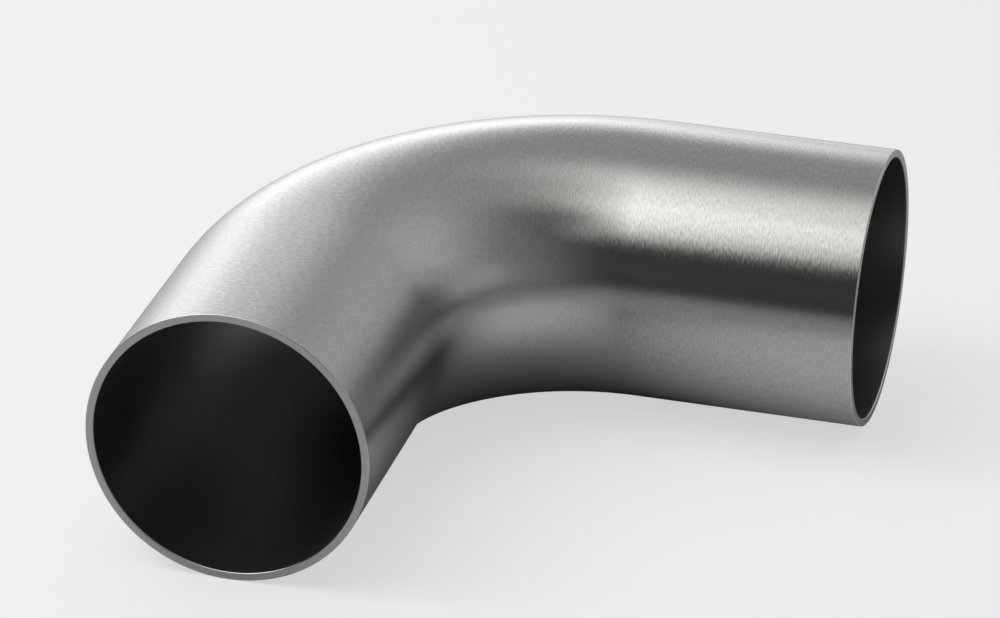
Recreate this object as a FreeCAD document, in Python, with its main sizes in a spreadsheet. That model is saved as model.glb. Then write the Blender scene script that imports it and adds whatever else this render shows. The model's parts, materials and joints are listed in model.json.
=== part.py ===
# Sanitary weld bend: a 90 degree bend of thin-walled stainless steel tube with a straight leg
# at each end, cut square and deburred so that it can be butt welded to tube of the same size.
# It was bent from one length of tube, so it is one piece with one continuous wall.
#
# Frame, in millimetres: the origin is the centre of the face of end A. Leg A runs along +Y, the
# tube turns towards +X, and leg B runs along +X. The centreline lies in the plane Z = 0, because
# the bend rests on its side.
import FreeCAD, Part
import math
import os

import Sketcher

# Driving dimensions in millimetres and degrees: name, value and what it sets.
DIMENSIONS = (
    ("tube_diameter", 70.0, "outside diameter of the tube"),
    ("wall_thickness", 2.0, "thickness of the tube wall"),
    ("bend_radius", 72.0, "radius of the centreline in the bend"),
    ("bend_angle", 90.0, "angle that the centreline turns through"),
    ("leg_a_length", 58.0, "straight leg between end A and the bend"),
    ("leg_b_length", 58.0, "straight leg between the bend and end B"),
    ("outer_edge_radius", 0.25, "deburred outer edge of each end"),
    ("inner_edge_radius", 0.35, "deburred inner edge of each end"),
)
SIZE = {name: value for name, value, _ in DIMENSIONS}

# Sketcher's numbers for the sketch origin, for the start and the end of a line or an arc, and for
# the centre of a circle.
SKETCH_ORIGIN = (-1, 1)
START, END, CENTRE = 1, 2, 3

# How far the swept volume may differ from section times length, and a radius from its value.
VOLUME_TOLERANCE = 1e-6
LENGTH_TOLERANCE = 1e-6


def add_dimension_sheet(doc):
    """Keeps the driving dimensions in a spreadsheet, one alias to a row."""
    sheet = doc.addObject("Spreadsheet::Sheet", "Dimensions")
    for row, (name, value, meaning) in enumerate(DIMENSIONS, start=1):
        sheet.set(f"A{row}", meaning)
        sheet.set(f"B{row}", str(value))
        sheet.setAlias(f"B{row}", name)
    doc.recompute()
    return sheet


def add_sketch(body, name, plane_role):
    """Attaches a new sketch to one of the body's own origin planes."""
    sketch = body.newObject("Sketcher::SketchObject", name)
    plane = next(feature for feature in body.Origin.OriginFeatures if feature.Role == plane_role)
    sketch.AttachmentSupport = [(plane, "")]
    sketch.MapMode = "FlatFace"
    return sketch


def constrain_size(sketch, expression, kind, *where, value):
    """Adds a dimensional constraint whose value follows the dimension sheet."""
    index = sketch.addConstraint(Sketcher.Constraint(kind, *where, value))
    sketch.setExpression(f"Constraints[{index}]", expression)


def wall_radii():
    """Gives the radius of the tube outside and of its bore."""
    outer_radius = SIZE["tube_diameter"] / 2
    return outer_radius, outer_radius - SIZE["wall_thickness"]


def draw_wall_section(body):
    """Draws the ring section of the wall round the centre of end A."""
    sketch = add_sketch(body, "wall_section", "XZ_Plane")
    expressions = (
        "Dimensions.tube_diameter / 2",
        "Dimensions.tube_diameter / 2 - Dimensions.wall_thickness",
    )
    for radius, expression in zip(wall_radii(), expressions):
        circle = sketch.addGeometry(Part.Circle(FreeCAD.Vector(), FreeCAD.Vector(0, 0, 1), radius))
        sketch.addConstraint(Sketcher.Constraint("Coincident", circle, CENTRE, *SKETCH_ORIGIN))
        constrain_size(sketch, expression, "Radius", circle, value=radius)
    return sketch


def draw_centreline(body):
    """Draws leg A, the bend and leg B as a line, an arc and a line that meet tangentially."""
    sketch = add_sketch(body, "centreline", "XY_Plane")
    radius = SIZE["bend_radius"]
    turn = math.radians(SIZE["bend_angle"])
    bend_centre = FreeCAD.Vector(radius, SIZE["leg_a_length"], 0)
    bend_start = FreeCAD.Vector(0, SIZE["leg_a_length"], 0)
    bend_end = bend_centre + FreeCAD.Vector(-math.cos(turn), math.sin(turn), 0) * radius
    leg_b = FreeCAD.Vector(math.sin(turn), math.cos(turn), 0) * SIZE["leg_b_length"]
    whole_circle = Part.Circle(bend_centre, FreeCAD.Vector(0, 0, 1), radius)

    line_a = sketch.addGeometry(Part.LineSegment(FreeCAD.Vector(), bend_start))
    arc = sketch.addGeometry(Part.ArcOfCircle(whole_circle, math.pi - turn, math.pi))
    line_b = sketch.addGeometry(Part.LineSegment(bend_end, bend_end + leg_b))

    sketch.addConstraint(Sketcher.Constraint("Coincident", line_a, START, *SKETCH_ORIGIN))
    sketch.addConstraint(Sketcher.Constraint("Vertical", line_a))
    sketch.addConstraint(Sketcher.Constraint("Tangent", line_a, END, arc, END))
    sketch.addConstraint(Sketcher.Constraint("Tangent", arc, START, line_b, START))
    constrain_size(sketch, "Dimensions.leg_a_length", "Distance", line_a, value=SIZE["leg_a_length"])
    constrain_size(sketch, "Dimensions.bend_radius", "Radius", arc, value=radius)
    constrain_size(sketch, "Dimensions.bend_angle", "Angle", arc, value=turn)
    constrain_size(sketch, "Dimensions.leg_b_length", "Distance", line_b, value=SIZE["leg_b_length"])
    return sketch


def sweep_tube(body, section, centreline):
    """Carries the wall section along the centreline."""
    tube = body.newObject("PartDesign::AdditivePipe", "bent_tube")
    tube.Profile = section
    tube.Spine = centreline
    body.Document.recompute()
    return tube


def end_rims(shape, radius):
    """Names the circular edges of the two end faces that have this radius."""
    end_faces = [face for face in shape.Faces if isinstance(face.Surface, Part.Plane)]
    edges = [edge for face in end_faces for edge in face.Edges]
    rims = [edge for edge in edges if abs(edge.Curve.Radius - radius) < LENGTH_TOLERANCE]
    names = enumerate(shape.Edges, start=1)
    return [f"Edge{number}" for number, edge in names if any(edge.isSame(rim) for rim in rims)]


def deburr_rims(body, base, name, radius, size_name):
    """Rounds the rims of one radius at both ends, as the deburring of the cut tube does."""
    fillet = body.newObject("PartDesign::Fillet", name)
    fillet.Base = (base, end_rims(base.Shape, radius))
    fillet.setExpression("Radius", f"Dimensions.{size_name}")
    body.Document.recompute()
    return fillet


def make_weld_bend(doc):
    """Makes the bend: the swept tube with its four end rims deburred."""
    body = doc.addObject("PartDesign::Body", "weld_bend")
    section = draw_wall_section(body)
    centreline = draw_centreline(body)
    doc.recompute()
    tube = sweep_tube(body, section, centreline)
    check_wall_volume(tube.Shape)

    outer_radius, bore_radius = wall_radii()
    outside = deburr_rims(body, tube, "deburred_outer_rims", outer_radius, "outer_edge_radius")
    inside = deburr_rims(body, outside, "deburred_inner_rims", bore_radius, "inner_edge_radius")
    body.Tip = inside
    return body


def check_wall_volume(shape):
    """Compares the swept tube with the ring's area times the centreline's length."""
    outer_radius, bore_radius = wall_radii()
    bend_length = math.radians(SIZE["bend_angle"]) * SIZE["bend_radius"]
    length = SIZE["leg_a_length"] + bend_length + SIZE["leg_b_length"]
    expected = math.pi * (outer_radius**2 - bore_radius**2) * length
    if abs(shape.Volume / expected - 1) > VOLUME_TOLERANCE:
        raise RuntimeError(f"the swept wall holds {shape.Volume} cubic mm and not {expected}")


def check_document(doc):
    """Stops the script if a feature has failed."""
    for feature in doc.Objects:
        if {"Invalid", "Error"} & set(feature.State):
            raise RuntimeError(f"{feature.Label} failed: {feature.State}")


def export_part(body):
    """Writes the finished solid, named for its node."""
    shape = body.Shape
    if shape.isNull() or not shape.isValid() or len(shape.Solids) != 1:
        raise RuntimeError(f"{body.Label} is not one valid solid")
    os.makedirs("parts", exist_ok=True)
    shape.exportStep(os.path.join("parts", f"{body.Label}.step"))
    box = shape.optimalBoundingBox()
    print(
        f"{body.Label}: {box.XLength:.2f} x {box.YLength:.2f} x {box.ZLength:.2f} mm, "
        f"{shape.Volume:.1f} cubic mm, {len(shape.Faces)} faces"
    )


def main():
    """Builds the document and exports its one part."""
    doc = FreeCAD.newDocument("sanitary_weld_bend")
    add_dimension_sheet(doc)
    weld_bend = make_weld_bend(doc)
    doc.recompute()
    check_document(doc)
    export_part(weld_bend)


main()
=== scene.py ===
"""A sanitary weld bend of brushed stainless steel tube, lying on its side on a pale floor.

The bend is one tube: a straight leg at end A along +Y, a right-angled bend towards +X, and a
straight leg to end B. The part's own frame is used, in metres, with end A's centre at the origin.
"""
import json
import logging
import math
from dataclasses import dataclass
from enum import Enum

import bpy
import numpy as np
from mathutils import Matrix, Vector

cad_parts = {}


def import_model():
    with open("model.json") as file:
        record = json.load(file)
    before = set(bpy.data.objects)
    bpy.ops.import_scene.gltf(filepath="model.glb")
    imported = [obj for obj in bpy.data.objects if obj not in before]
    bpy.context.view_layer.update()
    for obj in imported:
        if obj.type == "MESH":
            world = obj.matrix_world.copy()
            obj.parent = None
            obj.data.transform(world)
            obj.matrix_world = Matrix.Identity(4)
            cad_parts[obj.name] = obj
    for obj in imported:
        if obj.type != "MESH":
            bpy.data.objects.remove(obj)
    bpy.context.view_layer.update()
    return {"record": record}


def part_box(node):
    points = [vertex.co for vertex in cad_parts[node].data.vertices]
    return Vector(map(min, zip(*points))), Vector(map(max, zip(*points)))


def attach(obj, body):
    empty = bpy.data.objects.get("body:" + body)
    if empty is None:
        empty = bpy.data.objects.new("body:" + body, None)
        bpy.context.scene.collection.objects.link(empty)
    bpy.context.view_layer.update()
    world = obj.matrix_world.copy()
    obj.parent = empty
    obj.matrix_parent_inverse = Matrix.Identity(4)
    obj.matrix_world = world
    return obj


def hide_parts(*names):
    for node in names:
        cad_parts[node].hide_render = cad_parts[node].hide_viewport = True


LOG = logging.getLogger("weld_bend")
MM = 0.001


class Surface(Enum):
    """The surfaces of the tube, each with the number of its material slot."""

    OUTSIDE = 0
    BORE = 1
    CUT_END = 2


class Signal:
    """A value in a node tree, which ordinary arithmetic extends by Math nodes."""

    def __init__(self, sheet: "NodeSheet", socket: bpy.types.NodeSocket) -> None:
        """Wraps an output socket.

        Args:
            sheet: the node sheet that new nodes go on.
            socket: the output that carries the value.
        """
        self.sheet = sheet
        self.socket = socket

    def math(self, operation: str, *others: "Signal | float") -> "Signal":
        """Adds a Math node that has this signal as its first input.

        Args:
            operation: the node's operation.
            others: its other inputs, in order.

        Returns:
            The result as a new signal.
        """
        operands = dict(enumerate((self, *others)))
        node = self.sheet.add("ShaderNodeMath", {"operation": operation}, operands)
        return Signal(self.sheet, node.outputs[0])

    def __add__(self, other: "Signal | float") -> "Signal":
        """Adds a signal or a number."""
        return self.math("ADD", other)

    __radd__ = __add__

    def __sub__(self, other: "Signal | float") -> "Signal":
        """Takes away a signal or a number."""
        return self.math("SUBTRACT", other)

    def __rsub__(self, other: float) -> "Signal":
        """Takes this signal away from a number."""
        return self * -1.0 + other

    def __mul__(self, other: "Signal | float") -> "Signal":
        """Multiplies by a signal or a number."""
        return self.math("MULTIPLY", other)

    __rmul__ = __mul__

    def between(self, low: float, high: float) -> "Signal":
        """Rises smoothly from 0 to 1 between two values.

        Args:
            low: the value where the result is 0.
            high: the value where the result is 1.

        Returns:
            The smooth step as a new signal.
        """
        settings = {"interpolation_type": "SMOOTHSTEP"}
        node = self.sheet.add("ShaderNodeMapRange", settings, {0: self, 1: low, 2: high})
        return Signal(self.sheet, node.outputs[0])


class NodeSheet:
    """A node tree that is filled node by node."""

    def __init__(self, tree: bpy.types.NodeTree) -> None:
        """Empties the tree.

        Args:
            tree: the node tree of a material or of the world.
        """
        self.tree = tree
        tree.nodes.clear()

    def add(
        self,
        kind: str,
        settings: dict[str, object] | None = None,
        inputs: dict[str | int, object] | None = None,
    ) -> bpy.types.Node:
        """Adds any node.

        Args:
            kind: the node's type.
            settings: its properties, which are set first.
            inputs: values, signals or output sockets for its inputs, by name or number.

        Returns:
            The new node.
        """
        node = self.tree.nodes.new(kind)
        for name, value in (settings or {}).items():
            setattr(node, name, value)
        for key, value in (inputs or {}).items():
            if isinstance(value, Signal):
                value = value.socket
            if isinstance(value, bpy.types.NodeSocket):
                self.tree.links.new(value, node.inputs[key])
            else:
                node.inputs[key].default_value = value
        return node

    def attribute(self, name: str) -> bpy.types.NodeSocket:
        """Reads a vector attribute of the mesh."""
        return self.add("ShaderNodeAttribute", {"attribute_name": name}).outputs["Vector"]

    def vector(self, operation: str, *operands: object) -> bpy.types.NodeSocket:
        """Adds a Vector Math node that gives a vector.

        Args:
            operation: the node's operation.
            operands: its vector inputs, in order.

        Returns:
            The vector output.
        """
        node = self.add("ShaderNodeVectorMath", {"operation": operation}, dict(enumerate(operands)))
        return node.outputs["Vector"]

    def scaled(self, vector: bpy.types.NodeSocket, factor: Signal) -> bpy.types.NodeSocket:
        """Multiplies a vector by a signal."""
        node = self.add("ShaderNodeVectorMath", {"operation": "SCALE"}, {0: vector, "Scale": factor})
        return node.outputs["Vector"]

    def reach(self, place: bpy.types.NodeSocket, way: Vector) -> Signal:
        """Measures how far a place lies in one direction."""
        node = self.add("ShaderNodeVectorMath", {"operation": "DOT_PRODUCT"}, {0: place, 1: way})
        return Signal(self, node.outputs["Value"])

    def noise(self, place: bpy.types.NodeSocket, scale: float, detail: float = 0.0) -> Signal:
        """Adds a Noise Texture.

        Args:
            place: the coordinates.
            scale: how many blotches fit in one unit of them.
            detail: how many finer octaves are added.

        Returns:
            The noise, about 0.5 on average.
        """
        node = self.add("ShaderNodeTexNoise", {}, {"Vector": place, "Scale": scale, "Detail": detail})
        return Signal(self, node.outputs[0])

    def mixed(
        self, share: Signal | float, first: bpy.types.NodeSocket, second: bpy.types.NodeSocket
    ) -> bpy.types.NodeSocket:
        """Mixes two shaders.

        Args:
            share: share of the second one.
            first: the first shader.
            second: the second shader.

        Returns:
            The mixed shader.
        """
        return self.add("ShaderNodeMixShader", {}, {0: share, 1: first, 2: second}).outputs[0]


# Standard deviation of a Noise Texture without detail.
NOISE_SPREAD = 0.14
# How far each groove starts beyond the one before it, as a share of its length.
GROOVE_STAGGER = 0.37


@dataclass(frozen=True)
class GrooveLayer:
    """One set of parallel grinding grooves round the tube.

    Args:
        pitch: spacing of the grooves along the tube, in metres.
        length: length of a groove round the tube, in metres.
        lean: how far a groove runs along the tube for each metre round it.
        offset: shift that makes this layer unlike the others, in metres.
        tilt: how strongly the groove flanks tilt the surface along the tube, in radians.
        sway: how strongly the grooves tilt the surface round the tube, in radians.
        shade: how much the grooves lighten and darken the metal.
        matt: how much the grooves change the roughness.
    """

    pitch: float
    length: float
    lean: float
    offset: float
    tilt: float = 0.0
    sway: float = 0.0
    shade: float = 0.0
    matt: float = 0.0

    def wave(self, sheet: NodeSheet, unrolled: bpy.types.NodeSocket) -> Signal:
        """Gives the uneven wave of the grooves.

        Args:
            sheet: the node sheet to build on.
            unrolled: the place on the unrolled tube: along it, then round it.

        Returns:
            The wave, about 0 on average and with a standard deviation of about 1.
        """
        apart = sheet.add("ShaderNodeSeparateXYZ", {}, {0: unrolled})
        along, around = (Signal(sheet, apart.outputs[n]) for n in (0, 1))
        across = (along + around * self.lean + self.offset) * (1 / self.pitch)
        stagger = around * (1 / self.length) + across * GROOVE_STAGGER
        place = sheet.add("ShaderNodeCombineXYZ", {}, {0: across, 1: stagger})
        return (sheet.noise(place.outputs[0], 1.0) - 0.5) * (1 / NOISE_SPREAD)


@dataclass(frozen=True)
class Facets:
    """The ways that the flanks of the finest grooves face, which are too small to be seen singly.

    Args:
        count: how many ways there are.
        step: angle from one to the next, in radians.
        spread: standard deviation of the angle, in radians.
    """

    count: int = 9
    step: float = 0.055
    spread: float = 0.15

    def shares(self) -> list[tuple[float, float]]:
        """Lists the ways that the flanks face.

        Returns:
            The angle along the tube of each way and its share of the surface, from the steepest to
            the flat one, which an export that holds only one keeps.
        """
        angles = [self.step * (number - self.count // 2) for number in range(self.count)]
        weights = [math.exp(-0.5 * (angle / self.spread) ** 2) for angle in angles]
        shares = [(angle, weight / sum(weights)) for angle, weight in zip(angles, weights)]
        return sorted(shares, key=lambda share: -abs(share[0]))


@dataclass(frozen=True)
class BrushedFinish:
    """Stainless steel ground round the tube with a fine belt.

    Args:
        colour: linear colour of the metal.
        roughness: how much a flank spreads the light round the tube.
        flat_roughness: how much the flats between the flanks spread the light.
        grooves: the sets of grooves that can be seen.
        facets: how the grooves too fine to be seen spread the light along the tube.
        mottle: how much the colour varies over the tube.
        smears: how much the roughness varies over the tube.
        mottle_scale: blotches of the mottle and the smears to the metre.
        mottle_detail: how many finer octaves they have.
    """

    colour: tuple[float, float, float] = (0.52, 0.514, 0.502)
    roughness: float = 0.185
    flat_roughness: float = 0.3
    grooves: tuple[GrooveLayer, ...] = (
        GrooveLayer(0.15 * MM, 1.6 * MM, -0.1, 0.37, tilt=0.012),
        GrooveLayer(0.2 * MM, 1.4 * MM, -0.28, 0.71, sway=0.008, shade=0.055, matt=0.01),
        GrooveLayer(0.2 * MM, 1.4 * MM, 0.08, 0.53, shade=0.05),
        GrooveLayer(0.5 * MM, 5.0 * MM, 0.03, 0.13, tilt=0.003, shade=0.012),
    )
    facets: Facets = Facets()
    mottle: float = 0.06
    smears: float = 0.05
    mottle_scale: float = 40.0
    mottle_detail: float = 3.0

    def material(self) -> bpy.types.Material:
        """Builds the finish.

        Returns:
            The material.
        """
        made = bpy.data.materials.new("brushed_outside")
        made.use_nodes = True
        sheet = NodeSheet(made.node_tree)
        unrolled = sheet.attribute(BentTube.UNROLLED)
        waves = [layer.wave(sheet, unrolled) for layer in self.grooves]
        along = sheet.attribute(BentTube.ALONG)
        normal = sheet.add("ShaderNodeNewGeometry").outputs["Normal"]
        around = sheet.vector("CROSS_PRODUCT", normal, along)
        tilt = self.weighed(waves, [layer.tilt for layer in self.grooves])
        sway = self.weighed(waves, [layer.sway for layer in self.grooves])
        swayed = sheet.vector("ADD", normal, sheet.scaled(around, sway))
        place = sheet.add("ShaderNodeTexCoord").outputs["Object"]
        mottle = sheet.noise(place, self.mottle_scale, self.mottle_detail) - 0.5
        shade = self.weighed(waves, [layer.shade for layer in self.grooves], mottle * self.mottle) + 1.0
        rough = self.weighed(waves, [layer.matt for layer in self.grooves], mottle * self.smears)
        metal = sheet.add("ShaderNodeCombineXYZ", {}, dict(enumerate(self.colour)))
        colour = sheet.scaled(metal.outputs[0], shade)
        on_flank, on_flat = rough + self.roughness, rough + self.flat_roughness

        blend, covered = None, 0.0
        for angle, share in self.facets.shares():
            facing = sheet.vector("NORMALIZE", sheet.vector("ADD", swayed, sheet.scaled(along, tilt + angle)))
            rough_here = on_flank if angle else on_flat
            steel = {"Base Color": colour, "Metallic": 1.0, "Roughness": rough_here, "Normal": facing}
            shader = sheet.add("ShaderNodeBsdfPrincipled", {}, steel).outputs[0]
            covered += share
            blend = shader if blend is None else sheet.mixed(share / covered, blend, shader)
        sheet.add("ShaderNodeOutputMaterial", {}, {"Surface": blend})
        return made

    @staticmethod
    def weighed(waves: list[Signal], strengths: list[float], start: Signal | float = 0.0) -> Signal:
        """Adds up the waves of the grooves, each by its own strength.

        Args:
            waves: the wave of each set of grooves.
            strengths: the strength of each. A wave whose strength is 0 is left out.
            start: what they are added to.

        Returns:
            The sum.
        """
        return sum((wave * strength for wave, strength in zip(waves, strengths) if strength), start)


@dataclass(frozen=True)
class PlainMetalFinish:
    """Steel with a plain fine grain.

    Args:
        name: the material's name.
        colour: linear colour of the metal.
        roughness: how matt the metal is.
        grain: how much the roughness varies.
        grain_scale: grains to the metre.
        grain_detail: how many finer octaves the grain has.
    """

    name: str
    colour: tuple[float, float, float]
    roughness: float
    grain: float
    grain_scale: float
    grain_detail: float = 2.0

    def material(self) -> bpy.types.Material:
        """Builds the finish.

        Returns:
            The material.
        """
        made = bpy.data.materials.new(self.name)
        made.use_nodes = True
        sheet = NodeSheet(made.node_tree)
        place = sheet.add("ShaderNodeTexCoord").outputs["Object"]
        grains = sheet.noise(place, self.grain_scale, self.grain_detail) - 0.5
        steel = {
            "Base Color": (*self.colour, 1.0),
            "Metallic": 1.0,
            "Roughness": grains * self.grain + self.roughness,
        }
        shader = sheet.add("ShaderNodeBsdfPrincipled", {}, steel)
        sheet.add("ShaderNodeOutputMaterial", {}, {"Surface": shader.outputs[0]})
        return made


@dataclass(frozen=True)
class TubeSizes:
    """Sizes of the bent tube in metres.

    Args:
        outer_radius: radius of the outside.
        bore_radius: radius of the bore.
        leg_a: length of the straight leg at end A.
        leg_b: length of the straight leg at end B.
        centre_to_end: distance from either end to the other leg's centreline.
        outer_edge: radius of the rounded edges of the outside.
        inner_edge: radius of the rounded edges of the bore.
    """

    outer_radius: float
    bore_radius: float
    leg_a: float
    leg_b: float
    centre_to_end: float
    outer_edge: float = 0.25 * MM
    inner_edge: float = 0.35 * MM

    @classmethod
    def from_record(cls, record: dict, low: Vector) -> "TubeSizes":
        """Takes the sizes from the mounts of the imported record.

        Args:
            record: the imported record.
            low: lowest corner of the CAD tube, which the outside stays within.

        Returns:
            The sizes.
        """
        mounts = {mount["name"]: mount for mount in record["mounts"]}
        return cls(
            outer_radius=min(mounts["tube_a"]["dims"]["r_mm"] * MM, -low[0]),
            bore_radius=mounts["bore_a"]["dims"]["r_mm"] * MM,
            leg_a=mounts["bore_a"]["dims"]["length_mm"] * MM,
            leg_b=mounts["bore_b"]["dims"]["length_mm"] * MM,
            centre_to_end=mounts["bore_b"]["pos_m"][0],
        )

    @property
    def bend_radius(self) -> float:
        """Radius of the centreline in the bend."""
        return self.centre_to_end - self.leg_b

    @property
    def bend_length(self) -> float:
        """Length of the centreline in the bend."""
        return self.bend_radius * math.pi / 2

    @property
    def length(self) -> float:
        """Length of the whole centreline."""
        return self.leg_a + self.bend_length + self.leg_b


@dataclass(frozen=True)
class Patch:
    """A rectangle on the map that the finishes can be baked through, which is 1 wide and 1 high.

    Args:
        left: place of the left side across the map.
        right: place of the right side across the map.
        low: height of the bottom on the map.
        high: height of the top on the map.
    """

    left: float
    right: float
    low: float
    high: float

    def lifted(self, height: float) -> "Patch":
        """Gives the same rectangle further up."""
        return Patch(self.left, self.right, self.low + height, self.high + height)


# The outside and the bore fill a large patch each. The stretches of the cut ends lie in strips above.
OUTSIDE_PATCH = Patch(0.005, 0.62, 0.005, 0.94)
BORE_PATCH = Patch(0.63, 0.995, 0.005, 0.94)
FIRST_EDGE_STRIP = Patch(0.005, 0.995, 0.95, 0.955)
EDGE_STRIP_SPACING = 0.008


@dataclass
class Profile:
    """One stretch of the wall's lengthwise section.

    Args:
        along: distance of each point from end A.
        radius: radius of each point.
        lean: angle of the normal at each point, from square to the tube towards end B, in radians.
        surface: the surface that the stretch belongs to.
        patch: where it lies on the bake map.
    """

    along: np.ndarray
    radius: np.ndarray
    lean: np.ndarray
    surface: Surface
    patch: Patch

    def progress(self) -> np.ndarray:
        """Measures how far each point is along the stretch.

        Returns:
            Its share of the stretch's length.
        """
        steps = np.hypot(np.diff(self.along), np.diff(self.radius))
        return np.concatenate(((0.0,), np.cumsum(steps))) / steps.sum()


@dataclass
class BentTube:
    """The bent tube as one mesh of rings.

    Args:
        sizes: sizes of the tube.
        columns: faces round the tube.
        leg_rings: faces along each leg.
        bend_rings: faces along the bend.
        edge_rings: faces across each rounded edge.
        flat_rings: faces across the flat of each cut end.
    """

    sizes: TubeSizes
    columns: int = 256
    leg_rings: int = 14
    bend_rings: int = 72
    edge_rings: int = 5
    flat_rings: int = 2

    UNROLLED = "unrolled_tube"
    ALONG = "along_tube"
    BAKE_MAP = "OFBake"

    def lengthwise(self, edge: float) -> np.ndarray:
        """Gives the ring places between the rounded edges of the two ends.

        Args:
            edge: radius of the rounded edge at both ends.

        Returns:
            Distances along the centreline from end A.
        """
        size = self.sizes
        turn_start, turn_end = size.leg_a, size.leg_a + size.bend_length
        return np.concatenate(
            (
                np.linspace(edge, turn_start, self.leg_rings, endpoint=False),
                np.linspace(turn_start, turn_end, self.bend_rings, endpoint=False),
                np.linspace(turn_end, size.length - edge, self.leg_rings + 1),
            )
        )

    def profiles(self) -> list[Profile]:
        """Follows the wall's section from end A along the outside, round end B and back.

        Returns:
            The stretches in order. Each ends where the next one starts.
        """
        size = self.sizes
        outer, bore, end = size.outer_radius, size.bore_radius, size.length
        turn = np.linspace(0, math.pi / 2, self.edge_rings + 1)
        rise, fall = 1 - np.cos(turn), 1 - np.sin(turn)
        outside = self.lengthwise(size.outer_edge)
        inside = self.lengthwise(size.inner_edge)[::-1]
        flat = np.linspace(outer - size.outer_edge, bore + size.inner_edge, self.flat_rings + 1)
        square = np.full_like(flat, math.pi / 2)
        cut_end_stretches = (
            (end - size.outer_edge * fall, outer - size.outer_edge * rise, turn),
            (np.full_like(flat, end), flat, square),
            (end - size.inner_edge * rise, bore + size.inner_edge * fall, math.pi / 2 + turn),
            (size.inner_edge * fall, bore + size.inner_edge * rise, math.pi + turn),
            (np.zeros_like(flat), flat[::-1], 3 * square),
            (size.outer_edge * rise, outer - size.outer_edge * fall, 1.5 * math.pi + turn),
        )
        edges = [
            Profile(*stretch, Surface.CUT_END, FIRST_EDGE_STRIP.lifted(EDGE_STRIP_SPACING * number))
            for number, stretch in enumerate(cut_end_stretches)
        ]
        outer_wall = Profile(
            outside, np.full_like(outside, outer), np.zeros_like(outside), Surface.OUTSIDE, OUTSIDE_PATCH
        )
        bore_wall = Profile(
            inside, np.full_like(inside, bore), np.full_like(inside, math.pi), Surface.BORE, BORE_PATCH
        )
        return [outer_wall, *edges[:3], bore_wall, *edges[3:]]

    def centreline(self, along: np.ndarray) -> tuple[np.ndarray, np.ndarray]:
        """Follows the centreline.

        Args:
            along: distances from end A.

        Returns:
            The points and the directions there.
        """
        size = self.sizes
        in_bend = np.clip(along - size.leg_a, 0, size.bend_length)
        turn = in_bend / size.bend_radius
        flat = np.zeros_like(turn)
        direction = np.stack((np.sin(turn), np.cos(turn), flat), axis=-1)
        bend = np.stack((1 - np.cos(turn), np.sin(turn), flat), axis=-1) * size.bend_radius
        straight = np.minimum(along, size.leg_a)[:, None] * np.array((0.0, 1.0, 0.0))
        beyond = np.maximum(along - size.leg_a - size.bend_length, 0)[:, None] * direction
        return straight + bend + beyond, direction

    def build(self) -> bpy.types.Object:
        """Makes the mesh with exact normals and the attributes that the finishes read.

        Returns:
            The tube.
        """
        profiles = self.profiles()
        along = np.concatenate([part.along[:-1] for part in profiles])
        radius = np.concatenate([part.radius[:-1] for part in profiles])
        lean = np.concatenate([part.lean[:-1] for part in profiles])
        surface = np.concatenate([np.full(len(part.along) - 1, part.surface.value) for part in profiles])
        rings, columns = len(along), self.columns

        centre, direction = self.centreline(along)
        angle = np.linspace(0, 2 * math.pi, columns, endpoint=False)
        down = np.array((0.0, 0.0, -1.0))
        side = np.cross(direction, down)
        radial = np.cos(angle)[None, :, None] * down + np.sin(angle)[None, :, None] * side[:, None]
        points = centre[:, None] + radius[:, None, None] * radial
        normals = np.cos(lean)[:, None, None] * radial + (np.sin(lean)[:, None] * direction)[:, None]

        ring, column = np.meshgrid(np.arange(rings), np.arange(columns), indexing="ij")
        next_ring, next_column = (ring + 1) % rings, (column + 1) % columns
        corners = ((ring, column), (ring, next_column), (next_ring, next_column), (next_ring, column))
        faces = np.stack([r * columns + c for r, c in corners], axis=-1).reshape(-1, 4)

        mesh = bpy.data.meshes.new("weld_bend_tube")
        mesh.from_pydata(points.reshape(-1, 3).tolist(), [], faces.tolist())
        mesh.polygons.foreach_set("material_index", np.repeat(surface, columns).astype(np.int32))
        mesh.polygons.foreach_set("use_smooth", np.ones(len(faces), bool))
        self.write_places(mesh, along, direction)
        self.write_bake_map(mesh, profiles)
        mesh.normals_split_custom_set_from_vertices(normals.reshape(-1, 3).tolist())
        tube = bpy.data.objects.new("weld_bend_tube", mesh)
        bpy.context.scene.collection.objects.link(tube)
        return tube

    def corner_columns(self) -> np.ndarray:
        """Counts the columns up to each corner of a ring's faces, with the seam's far side last."""
        column = np.arange(self.columns)
        return np.stack((column, column + 1, column + 1, column), axis=-1)[None]

    def write_places(self, mesh: bpy.types.Mesh, along: np.ndarray, direction: np.ndarray) -> None:
        """Stores where each corner lies on the unrolled tube, and which way the tube runs.

        Args:
            mesh: the mesh of rings.
            along: distance of each ring from end A.
            direction: direction of the centreline at each ring.
        """
        running = mesh.attributes.new(self.ALONG, "FLOAT_VECTOR", "POINT")
        running.data.foreach_set("vector", np.repeat(direction, self.columns, axis=0).ravel())

        following = np.roll(along, -1)
        corner_along = np.stack((along, along, following, following), axis=-1)[:, None]
        around = self.corner_columns() * (2 * math.pi * self.sizes.outer_radius / self.columns)
        place = np.stack(np.broadcast_arrays(corner_along, around, 0.0), axis=-1)
        unrolled = mesh.attributes.new(self.UNROLLED, "FLOAT_VECTOR", "CORNER")
        unrolled.data.foreach_set("vector", place.ravel())

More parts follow.
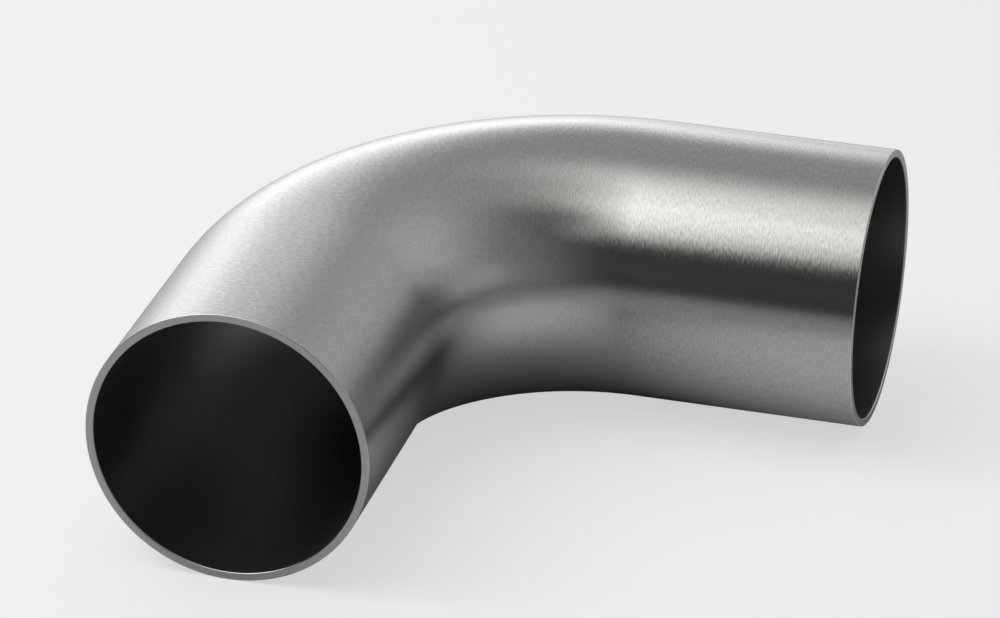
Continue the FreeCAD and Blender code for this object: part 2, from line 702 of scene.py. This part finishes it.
    def write_bake_map(self, mesh: bpy.types.Mesh, profiles: list[Profile]) -> None:
        """Lays each stretch of the wall flat on its patch of the bake map, which no finish reads.

        Args:
            mesh: the mesh of rings.
            profiles: the stretches of the wall in the order of the rings.
        """
        around = self.corner_columns() / self.columns
        places = []
        for profile in profiles:
            patch, share = profile.patch, profile.progress()
            near, far = share[:-1], share[1:]
            height = patch.low + (patch.high - patch.low) * np.stack((near, near, far, far), axis=-1)[:, None]
            width = patch.left + (patch.right - patch.left) * around
            places.append(np.stack(np.broadcast_arrays(width, height), axis=-1))
        bake_map = mesh.uv_layers.new(name=self.BAKE_MAP)
        bake_map.data.foreach_set("uv", np.concatenate(places).ravel())


@dataclass
class WeldBend:
    """The weld bend with its finishes.

    Args:
        sizes: sizes of the tube.
        outside: finish of the outside.
        bore: finish of the bore, whose colour, darker than the outside's, is partly painted shade.
        cut_end: finish of both cut ends and their rounded edges.
    """

    sizes: TubeSizes
    outside: BrushedFinish = BrushedFinish()
    # The bore is matt. Its colour is darker than the outside's, partly as painted shade inside the tube.
    bore: PlainMetalFinish = PlainMetalFinish("matt_bore_painted_shade", (0.34, 0.333, 0.325), 0.36, 0.12, 900.0)
    cut_end: PlainMetalFinish = PlainMetalFinish("cut_end", (0.7, 0.694, 0.684), 0.35, 0.2, 2500.0)

    def build(self) -> bpy.types.Object:
        """Builds and dresses the tube, and has it stand for the CAD node.

        Returns:
            The tube.
        """
        tube = BentTube(self.sizes).build()
        finishes = {Surface.OUTSIDE: self.outside, Surface.BORE: self.bore, Surface.CUT_END: self.cut_end}
        for surface in Surface:
            tube.data.materials.append(finishes[surface].material())
        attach(tube, "root")
        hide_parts("weld_bend")
        return tube


# Linear tints of the lamps in front of the part and behind it.
WARM = (1.0, 0.992, 0.972)
COOL = (0.93, 0.945, 1.0)


def direction_of(azimuth: float, elevation: float) -> Vector:
    """Gives a direction from the part.

    Args:
        azimuth: degrees from +Y towards +X.
        elevation: degrees above the horizon.

    Returns:
        The unit vector.
    """
    turn, rise = math.radians(azimuth), math.radians(elevation)
    return Vector((math.sin(turn) * math.cos(rise), math.cos(turn) * math.cos(rise), math.sin(rise)))


@dataclass(frozen=True)
class Softbox:
    """A soft rectangular studio lamp that faces the part.

    Args:
        name: the lamp's name.
        azimuth: degrees from +Y towards +X.
        elevation: degrees above the horizon.
        distance: metres from the part.
        width: its width in metres.
        height: its height in metres.
        brightness: brightness of its face, where 1 is white.
        soft_edge: share of the half width and half height over which the brightness fades.
        tint: linear colour of its light.
    """

    name: str
    azimuth: float
    elevation: float
    distance: float
    width: float
    height: float
    brightness: float
    soft_edge: float = 0.5
    tint: tuple[float, float, float] = (1.0, 1.0, 1.0)

    def build(self, centre: Vector) -> bpy.types.Object:
        """Hangs the lamp.

        Args:
            centre: the point that it faces.

        Returns:
            The lamp.
        """
        data = bpy.data.lights.new(self.name, "AREA")
        data.shape = "RECTANGLE"
        data.size, data.size_y = self.width, self.height
        # A flat lamp's brightness is its power divided by its area and by pi.
        data.energy = self.brightness * math.pi * self.width * self.height
        data.color = self.tint
        data.use_nodes = True
        self.fade_edges(NodeSheet(data.node_tree))
        lamp = bpy.data.objects.new(self.name, data)
        back = direction_of(self.azimuth, self.elevation)
        lamp.location = centre + back * self.distance
        lamp.rotation_euler = back.to_track_quat("Z", "Y").to_euler()
        lamp.visible_camera = False
        bpy.context.scene.collection.objects.link(lamp)
        return lamp

    def fade_edges(self, sheet: NodeSheet) -> None:
        """Makes the face brightest in the middle.

        Args:
            sheet: the node sheet of the lamp.
        """
        place = sheet.add("ShaderNodeNewGeometry").outputs["Parametric"]
        apart = sheet.add("ShaderNodeSeparateXYZ", {}, {0: place})
        fades = []
        for side in (0, 1):
            off_centre = (Signal(sheet, apart.outputs[side]) * 2.0 - 1.0).math("ABSOLUTE")
            fades.append(1.0 - off_centre.between(1 - self.soft_edge, 1.0))
        glow = sheet.add("ShaderNodeEmission", {}, {"Strength": fades[0] * fades[1]})
        sheet.add("ShaderNodeOutputLight", {}, {"Surface": glow.outputs[0]})


@dataclass(frozen=True)
class Studio:
    """A pale floor, soft lamps, and a room that is pale behind and right of the part and dark elsewhere.

    Args:
        floor_reach: metres from the middle of the floor to its sides.
        floor_shade: linear shade of the floor paper, as the lamps light it.
        seen_floor_shade: its shade as the camera sees it.
        floor_lift: share of plain white that the camera sees in the floor.
        painted_front_shade: share of the paper's shade taken away far in front, a painted shade that the
            lamps and the part's reflections see but the camera doesn't.
        front_azimuth: degrees from +Y towards +X, the way to the front.
        front_range: metres from the part's centre over which the painted shade deepens to that share.
        painted_light_pool_lift: share of plain white painted on the floor as a pool of light, which the part
            mirrors but the camera doesn't see.
        painted_light_pool_centre: metres along +X and +Y from the part's centre to the middle of the painted
            pool of light.
        painted_light_pool_range: metres from its middle over which the painted pool of light fades.
        backdrop_lift: share of plain white that the part mirrors from the far floor as well.
        backdrop_azimuth: degrees from +Y towards +X, the way to the far floor.
        backdrop_range: metres from the part over which the near floor becomes the far floor.
        white: brightness of plain white.
        back_wall: brightness of the room behind the part.
        back_wall_range: lean of a direction towards +Y, from -1 to 1, over which the room brightens to it.
        right_wall: brightness that the room to the right of the part adds.
        right_wall_range: lean of a direction towards +X over which the room brightens by it.
        lamps: the lamps.
    """

    floor_reach: float = 6.0
    floor_shade: float = 0.5
    seen_floor_shade: float = 0.95
    floor_lift: float = 0.6
    painted_front_shade: float = 0.5
    front_azimuth: float = -165.0
    front_range: tuple[float, float] = (0.15, 0.7)
    # A painted pool of light on the floor in front of leg B, which only the part's reflections show.
    painted_light_pool_lift: float = 0.35
    painted_light_pool_centre: tuple[float, float] = (0.09, -0.045)
    painted_light_pool_range: tuple[float, float] = (0.04, 0.1)
    backdrop_lift: float = 1.0
    backdrop_azimuth: float = -40.0
    backdrop_range: tuple[float, float] = (0.08, 0.48)
    white: float = 1.0
    back_wall: float = 0.414
    back_wall_range: tuple[float, float] = (-0.2, 0.6)
    right_wall: float = 0.247
    right_wall_range: tuple[float, float] = (0.0, 0.8)
    lamps: tuple[Softbox, ...] = (
        Softbox("far_left_softbox", -98.0, 50.0, 1.3, 0.8, 1.0, 2.63, 0.8, WARM),
        Softbox("left_softbox", -115.0, 50.0, 1.3, 1.3, 1.0, 1.89, 0.6, WARM),
        Softbox("overhead_softbox", -150.0, 80.0, 1.3, 1.6, 1.1, 0.95, 0.8, WARM),
        Softbox("front_softbox", -155.0, 60.0, 1.3, 0.8, 0.7, 1.36, 0.8, WARM),
        Softbox("key_edge_softbox", -155.0, 47.0, 1.3, 1.3, 0.42, 0.9, 0.3, WARM),
        Softbox("overhead_back_softbox", -55.0, 76.0, 1.3, 0.9, 0.9, 0.54, 0.8),
        Softbox("low_back_left_softbox", -32.0, 10.0, 1.3, 1.2, 0.9, 2.31, 1.0, COOL),
        Softbox("low_back_softbox", -12.0, 12.0, 1.3, 0.7, 0.9, 1.09, 1.0, COOL),
        Softbox("back_softbox", -8.0, 28.0, 1.3, 0.7, 0.5, 0.3, 1.0, COOL),
        Softbox("low_right_softbox", 85.0, 8.0, 1.3, 1.0, 0.5, 0.36, 0.8),
        Softbox("low_front_softbox", -165.0, 15.0, 1.3, 2.0, 1.0, 0.07, 1.0),
    )

    def build(self, low: Vector, high: Vector) -> None:
        """Builds the floor, the room's light and the lamps.

        Args:
            low: lowest corner of the part.
            high: highest corner of the part.
        """
        centre = (low + high) / 2
        self.build_floor(centre, low.z)
        self.light_room()
        for lamp in self.lamps:
            lamp.build(centre)

    def build_floor(self, centre: Vector, height: float) -> None:
        """Lays the floor.

        Args:
            centre: centre of the part.
            height: height of the floor.
        """
        mesh = bpy.data.meshes.new("studio_floor")
        reach = self.floor_reach
        corners = [(-reach, -reach, 0.0), (reach, -reach, 0.0), (reach, reach, 0.0), (-reach, reach, 0.0)]
        mesh.from_pydata(corners, [], [(0, 1, 2, 3)])
        mesh.materials.append(self.floor_paper())
        floor = bpy.data.objects.new("studio_floor", mesh)
        floor.location = (centre.x, centre.y, height)
        bpy.context.scene.collection.objects.link(floor)

    def floor_paper(self) -> bpy.types.Material:
        """Makes the paper, which is lifted towards white where the camera sees it and the part mirrors it. It
        also holds a painted pool of light that only the part mirrors, and painted shade far in front.

        Returns:
            The material.
        """
        made = bpy.data.materials.new("floor_paper")
        made.use_nodes = True
        # The white is only seen and mirrored, so the floor isn't sampled as a lamp.
        made.cycles.emission_sampling = "NONE"
        sheet = NodeSheet(made.node_tree)
        rays = sheet.add("ShaderNodeLightPath").outputs
        camera, glossy, through = (
            Signal(sheet, rays[f"Is {kind} Ray"]) for kind in ("Camera", "Glossy", "Transmission")
        )
        place = sheet.add("ShaderNodeTexCoord").outputs["Object"]
        # Painted shade: the paper darkens far in front, for every ray but the camera's.
        front = sheet.reach(place, direction_of(self.front_azimuth, 0.0)).between(*self.front_range)
        lamplit_and_painted_shade = (1.0 - front * self.painted_front_shade) * self.floor_shade
        shade = camera * (self.seen_floor_shade - lamplit_and_painted_shade) + lamplit_and_painted_shade
        colour = sheet.add("ShaderNodeCombineXYZ", {}, {0: shade, 1: shade, 2: shade})
        paper = sheet.add("ShaderNodeBsdfDiffuse", {}, {"Color": colour.outputs[0]})
        white = sheet.add("ShaderNodeEmission", {}, {"Strength": self.white})
        lift = camera * self.floor_lift + (glossy + through) * self.mirrored_white(sheet, place)
        mixed = sheet.mixed(lift, paper.outputs[0], white.outputs[0])
        sheet.add("ShaderNodeOutputMaterial", {}, {"Surface": mixed})
        return made

    def mirrored_white(self, sheet: NodeSheet, place: bpy.types.NodeSocket) -> Signal:
        """Gives how white the part mirrors the floor, beyond the lamps' light on it: the far floor, and a
        painted pool of light in front of leg B.

        Args:
            sheet: the node sheet of the paper.
            place: the place on the floor, from its middle.

        Returns:
            The share of plain white.
        """
        backdrop = sheet.reach(place, direction_of(self.backdrop_azimuth, 0.0)).between(*self.backdrop_range)
        # Painted pool of light: white that only reflections show, fading away from its middle.
        middle = (*self.painted_light_pool_centre, 0.0)
        off_pool = sheet.add("ShaderNodeVectorMath", {"operation": "DISTANCE"}, {0: place, 1: middle})
        pool = 1.0 - Signal(sheet, off_pool.outputs["Value"]).between(*self.painted_light_pool_range)
        return pool * self.painted_light_pool_lift + backdrop * self.backdrop_lift

    def light_room(self) -> None:
        """Lights the room from its back wall and its right wall."""
        world = bpy.data.worlds.new("studio_room")
        world.use_nodes = True
        bpy.context.scene.world = world
        sheet = NodeSheet(world.node_tree)
        way = sheet.add("ShaderNodeTexCoord").outputs["Generated"]
        apart = sheet.add("ShaderNodeSeparateXYZ", {}, {0: way})
        right, back = (Signal(sheet, apart.outputs[n]) for n in (0, 1))
        behind = back.between(*self.back_wall_range) * self.back_wall
        beside = right.between(*self.right_wall_range) * self.right_wall
        white = {"Color": (1.0, 1.0, 1.0, 1.0), "Strength": behind + beside}
        light = sheet.add("ShaderNodeBackground", {}, white)
        sheet.add("ShaderNodeOutputWorld", {}, {"Surface": light.outputs[0]})


@dataclass(frozen=True)
class PhotoCamera:
    """The camera of the photograph, which looks down on the bend from beyond end A.

    Args:
        target: the point on the view axis, in metres.
        azimuth: degrees that the view turns from +Y towards -X.
        elevation: degrees that it looks down.
        roll: degrees that its right side is tipped up.
        distance: metres from the target.
        lens: focal length in millimetres.
        sensor: width of the sensor in millimetres.
    """

    target: tuple[float, float, float] = (0.04204, 0.09064, 0.0)
    azimuth: float = 14.738
    elevation: float = 26.290
    roll: float = 1.051
    distance: float = 1.3503
    lens: float = 196.31
    sensor: float = 36.0

    def build(self) -> bpy.types.Object:
        """Places the camera.

        Returns:
            The camera.
        """
        data = bpy.data.cameras.new("photo_camera")
        data.lens = self.lens
        data.sensor_width = self.sensor
        camera = bpy.data.objects.new("photo_camera", data)
        back = -direction_of(-self.azimuth, -self.elevation)
        place = Vector(self.target) + back * self.distance
        turn = back.to_track_quat("Z", "Y").to_matrix().to_4x4()
        camera.matrix_world = (
            Matrix.Translation(place) @ turn @ Matrix.Rotation(math.radians(self.roll), 4, "Z")
        )
        bpy.context.scene.collection.objects.link(camera)
        bpy.context.scene.camera = camera
        return camera


def main() -> None:
    """Builds the weld bend, the studio and the camera, and logs what it built."""
    logging.basicConfig(level=logging.INFO)
    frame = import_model()
    bpy.context.scene.view_settings.view_transform = "Standard"

    camera = PhotoCamera().build()
    LOG.info("built %s", camera.name)
    low, high = (Vector(corner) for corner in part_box("weld_bend"))
    tube = WeldBend(TubeSizes.from_record(frame["record"], low)).build()
    LOG.info("built %s with %d faces", tube.name, len(tube.data.polygons))
    Studio().build(low, high)
    LOG.info("built the studio")


if __name__ == "__main__":
    main()
